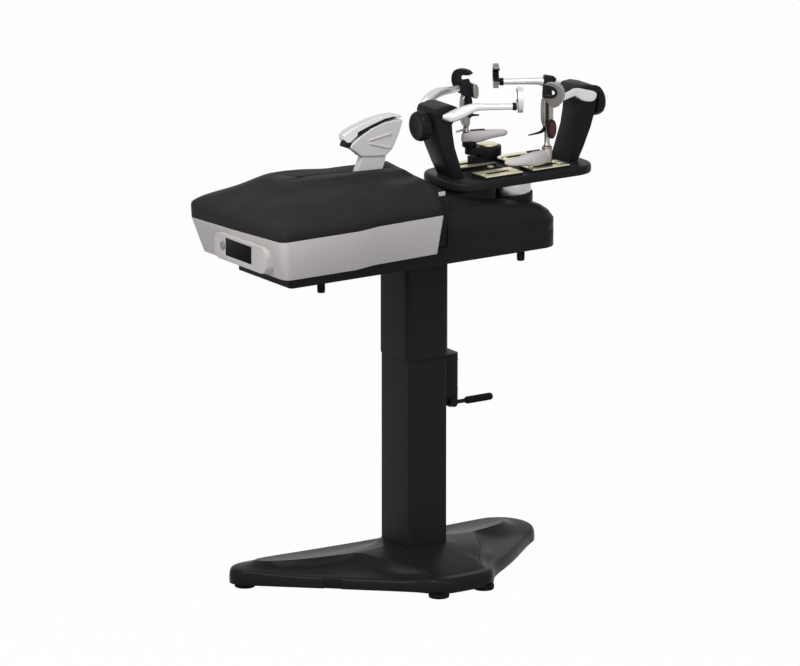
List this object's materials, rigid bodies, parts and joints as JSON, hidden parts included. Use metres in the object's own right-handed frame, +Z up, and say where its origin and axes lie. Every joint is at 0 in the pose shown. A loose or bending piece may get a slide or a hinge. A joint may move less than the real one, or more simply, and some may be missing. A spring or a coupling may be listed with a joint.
{
  "type": "racket stringing machine",
  "caption": "Racket stringing machine on a height-adjustable column: a covered electronic string puller beside a turntable with frame towers, side arms and sliding string clamps.",
  "frame": {"origin": "bottom centre of the bounding box, on the floor between the feet", "axes": "+Z up, +X from the display end towards the turntable, +Y towards the machine's rear"},
  "size_m": [1.042, 0.439, 1.186],
  "materials": {
    "black_paint": "satin powder coat",
    "cover_plastic": "fine texture",
    "shell_paint": "light grey satin",
    "black_plastic": "moulded",
    "rubber": "dull",
    "display_glass": "dark glossy window",
    "board_green": "circuit board",
    "zinc_steel": "plated",
    "bright_steel": "turned",
    "white_paint": "white satin",
    "rail_alloy": "pale anodised",
    "cast_alloy": "satin cast",
    "hook_alloy": "grey satin with black pads",
    "clamp_bronze": "dark nickel",
    "lever_red": "dark red and black"
  },
  "bodies": {
    "base": {"base_casting": "black_paint", "foot_front_left": "rubber", "foot_front_right": "rubber", "foot_rear_left": "rubber", "foot_rear_right": "rubber", "mast_tube": "black_paint", "gas_spring_cylinder": "zinc_steel", "lock_housing": "black_paint"},
    "lock_lever": {"lock_lever": "black_plastic", "lock_grip": "rubber"},
    "head": {"mast_sleeve": "black_paint", "gas_spring_rod": "bright_steel", "chassis_pan": "black_paint", "chassis_foot_front_left": "rubber", "chassis_foot_front_right": "rubber", "chassis_foot_rear_left": "rubber", "chassis_foot_rear_right": "rubber", "tray_shell": "shell_paint", "top_cover": "cover_plastic", "display_window": "display_glass", "control_board": "board_green", "power_supply": "zinc_steel", "power_inlet": "black_plastic", "drive_frame": "zinc_steel", "gear_motor": "black_plastic", "turntable_housing": "black_paint", "bearing_ring": "bright_steel"},
    "tension_button": {"tension_button": "black_plastic"},
    "power_rocker": {"power_rocker": "black_plastic"},
    "puller": {"puller_carriage": "zinc_steel", "puller_stem": "white_paint", "gripper_body": "white_paint"},
    "leadscrew": {"leadscrew": "bright_steel"},
    "gripper_jaw": {"gripper_jaw": "white_paint"},
    "turntable": {"turntable_plate": "black_paint", "turntable_spindle": "bright_steel", "rail_rear_right": "rail_alloy", "rail_front_right": "rail_alloy", "rail_rear_left": "rail_alloy", "rail_front_left": "rail_alloy"},
    "tower_left": {"tower_left": "black_paint"},
    "tower_right": {"tower_right": "black_paint"},
    "knob_left": {"tower_knob_left": "black_plastic"},
    "knob_right": {"tower_knob_right": "black_plastic"},
    "arm_left_front": {"side_arm_left_front": "cast_alloy", "frame_hook_left_front": "hook_alloy"},
    "arm_left_rear": {"side_arm_left_rear": "cast_alloy", "frame_hook_left_rear": "hook_alloy"},
    "arm_right_front": {"side_arm_right_front": "cast_alloy", "frame_hook_right_front": "hook_alloy"},
    "arm_right_rear": {"side_arm_right_rear": "cast_alloy", "frame_hook_right_rear": "hook_alloy"},
    "clamp_rear_shoe": {"clamp_rear_shoe": "black_paint"},
    "clamp_rear_arm": {"clamp_rear_arm": "cast_alloy"},
    "clamp_rear_head": {"clamp_rear_head": "clamp_bronze"},
    "clamp_rear_lever": {"clamp_rear_lever": "black_plastic"},
    "clamp_front_shoe": {"clamp_front_shoe": "black_paint"},
    "clamp_front_arm": {"clamp_front_arm": "cast_alloy"},
    "clamp_front_head": {"clamp_front_head": "clamp_bronze"},
    "clamp_front_lever": {"clamp_front_lever": "lever_red"}
  },
  "joints": [
    {"name": "column_lift", "type": "slide", "parent": "base", "child": "head", "axis": [0, 0, 1], "range_m": [0, 0.15]},
    {"name": "lock_lever_turn", "type": "hinge", "parent": "base", "child": "lock_lever", "pos_m": [0.071, -0.0325, 0.421], "axis": [0, -1, 0], "range_deg": [0, 35]},
    {"name": "tension_button_press", "type": "slide", "parent": "head", "child": "tension_button", "axis": [1, 0, 0], "range_m": [0, 0.0025], "stiffness_N_per_m": 300},
    {"name": "power_rocker_tilt", "type": "hinge", "parent": "head", "child": "power_rocker", "pos_m": [-0.075, 0.134, 0.8035], "axis": [0, 0, -1], "range_deg": [0, 12]},
    {"name": "puller_travel", "type": "slide", "parent": "head", "child": "puller", "axis": [-1, 0, 0], "range_m": [0, 0.15]},
    {"name": "leadscrew_spin", "type": "hinge", "parent": "head", "child": "leadscrew", "pos_m": [-0.24, 0.015, 0.868], "axis": [1, 0, 0], "range_deg": [-10, 2710]},
    {"name": "gripper_jaw_open", "type": "hinge", "parent": "puller", "child": "gripper_jaw", "pos_m": [-0.047, 0.015, 1.129], "axis": [0, 1, 0], "range_deg": [0, 10]},
    {"name": "turntable_spin", "type": "hinge", "parent": "head", "child": "turntable", "pos_m": [0.259, 0.015, 0.95], "axis": [0, 0, 1], "continuous": true},
    {"name": "tower_left_slide", "type": "slide", "parent": "turntable", "child": "tower_left", "axis": [1, 0, 0], "range_m": [0, 0.02]},
    {"name": "tower_right_slide", "type": "slide", "parent": "turntable", "child": "tower_right", "axis": [-1, 0, 0], "range_m": [0, 0.02]},
    {"name": "arm_left_rear_swing", "type": "hinge", "parent": "tower_left", "child": "arm_left_rear", "pos_m": [0.054, 0.0688, 1.121], "axis": [0, 0, -1], "range_deg": [-10, 7]},
    {"name": "arm_left_front_swing", "type": "hinge", "parent": "tower_left", "child": "arm_left_front", "pos_m": [0.054, -0.0388, 1.121], "axis": [0, 0, -1], "range_deg": [-10, 10]},
    {"name": "knob_left_turn", "type": "hinge", "parent": "tower_left", "child": "knob_left", "pos_m": [0.014, 0.015, 1.095], "axis": [1, 0, 0], "range_deg": [-220, 220]},
    {"name": "arm_right_rear_swing", "type": "hinge", "parent": "tower_right", "child": "arm_right_rear", "pos_m": [0.464, 0.0688, 1.121], "axis": [0, 0, 1], "range_deg": [-10, 7]},
    {"name": "arm_right_front_swing", "type": "hinge", "parent": "tower_right", "child": "arm_right_front", "pos_m": [0.464, -0.0388, 1.121], "axis": [0, 0, 1], "range_deg": [-10, 10]},
    {"name": "knob_right_turn", "type": "hinge", "parent": "tower_right", "child": "knob_right", "pos_m": [0.504, 0.015, 1.095], "axis": [1, 0, 0], "range_deg": [-220, 220]},
    {"name": "clamp_rear_slide", "type": "slide", "parent": "turntable", "child": "clamp_rear_shoe", "axis": [1, 0, 0], "range_m": [-0.03, 0.008]},
    {"name": "clamp_rear_turn", "type": "hinge", "parent": "clamp_rear_shoe", "child": "clamp_rear_arm", "pos_m": [0.242, 0.072, 1.02], "axis": [0, 0, 1], "range_deg": [-20, 20]},
    {"name": "clamp_rear_swivel", "type": "hinge", "parent": "clamp_rear_arm", "child": "clamp_rear_head", "pos_m": [0.185, 0.084, 1.09], "axis": [0, 0, 1], "range_deg": [-60, 60]},
    {"name": "clamp_rear_close", "type": "hinge", "parent": "clamp_rear_head", "child": "clamp_rear_lever", "pos_m": [0.185, 0.0737, 1.132], "axis": [-1, 0, 0], "range_deg": [0, 45]},
    {"name": "clamp_front_slide", "type": "slide", "parent": "turntable", "child": "clamp_front_shoe", "axis": [1, 0, 0], "range_m": [-0.005, 0.015]},
    {"name": "clamp_front_turn", "type": "hinge", "parent": "clamp_front_shoe", "child": "clamp_front_arm", "pos_m": [0.321, -0.042, 0.985], "axis": [0, 0, 1], "range_deg": [-15, 15]},
    {"name": "clamp_front_swivel", "type": "hinge", "parent": "clamp_front_arm", "child": "clamp_front_head", "pos_m": [0.333, -0.042, 1.09], "axis": [0, 0, 1], "range_deg": [-60, 60]},
    {"name": "clamp_front_close", "type": "hinge", "parent": "clamp_front_head", "child": "clamp_front_lever", "pos_m": [0.333, -0.0523, 1.132], "axis": [-1, 0, 0], "range_deg": [0, 45]}
  ],
  "couplings": [
    {"joint": "leadscrew_spin", "follows": "puller_travel", "rad_per_m": 314.16},
    {"joint": "arm_left_front_swing", "follows": "arm_left_rear_swing", "ratio": -1},
    {"joint": "knob_left_turn", "follows": "arm_left_rear_swing", "ratio": 20},
    {"joint": "arm_right_front_swing", "follows": "arm_right_rear_swing", "ratio": -1},
    {"joint": "knob_right_turn", "follows": "arm_right_rear_swing", "ratio": 20}
  ]
}
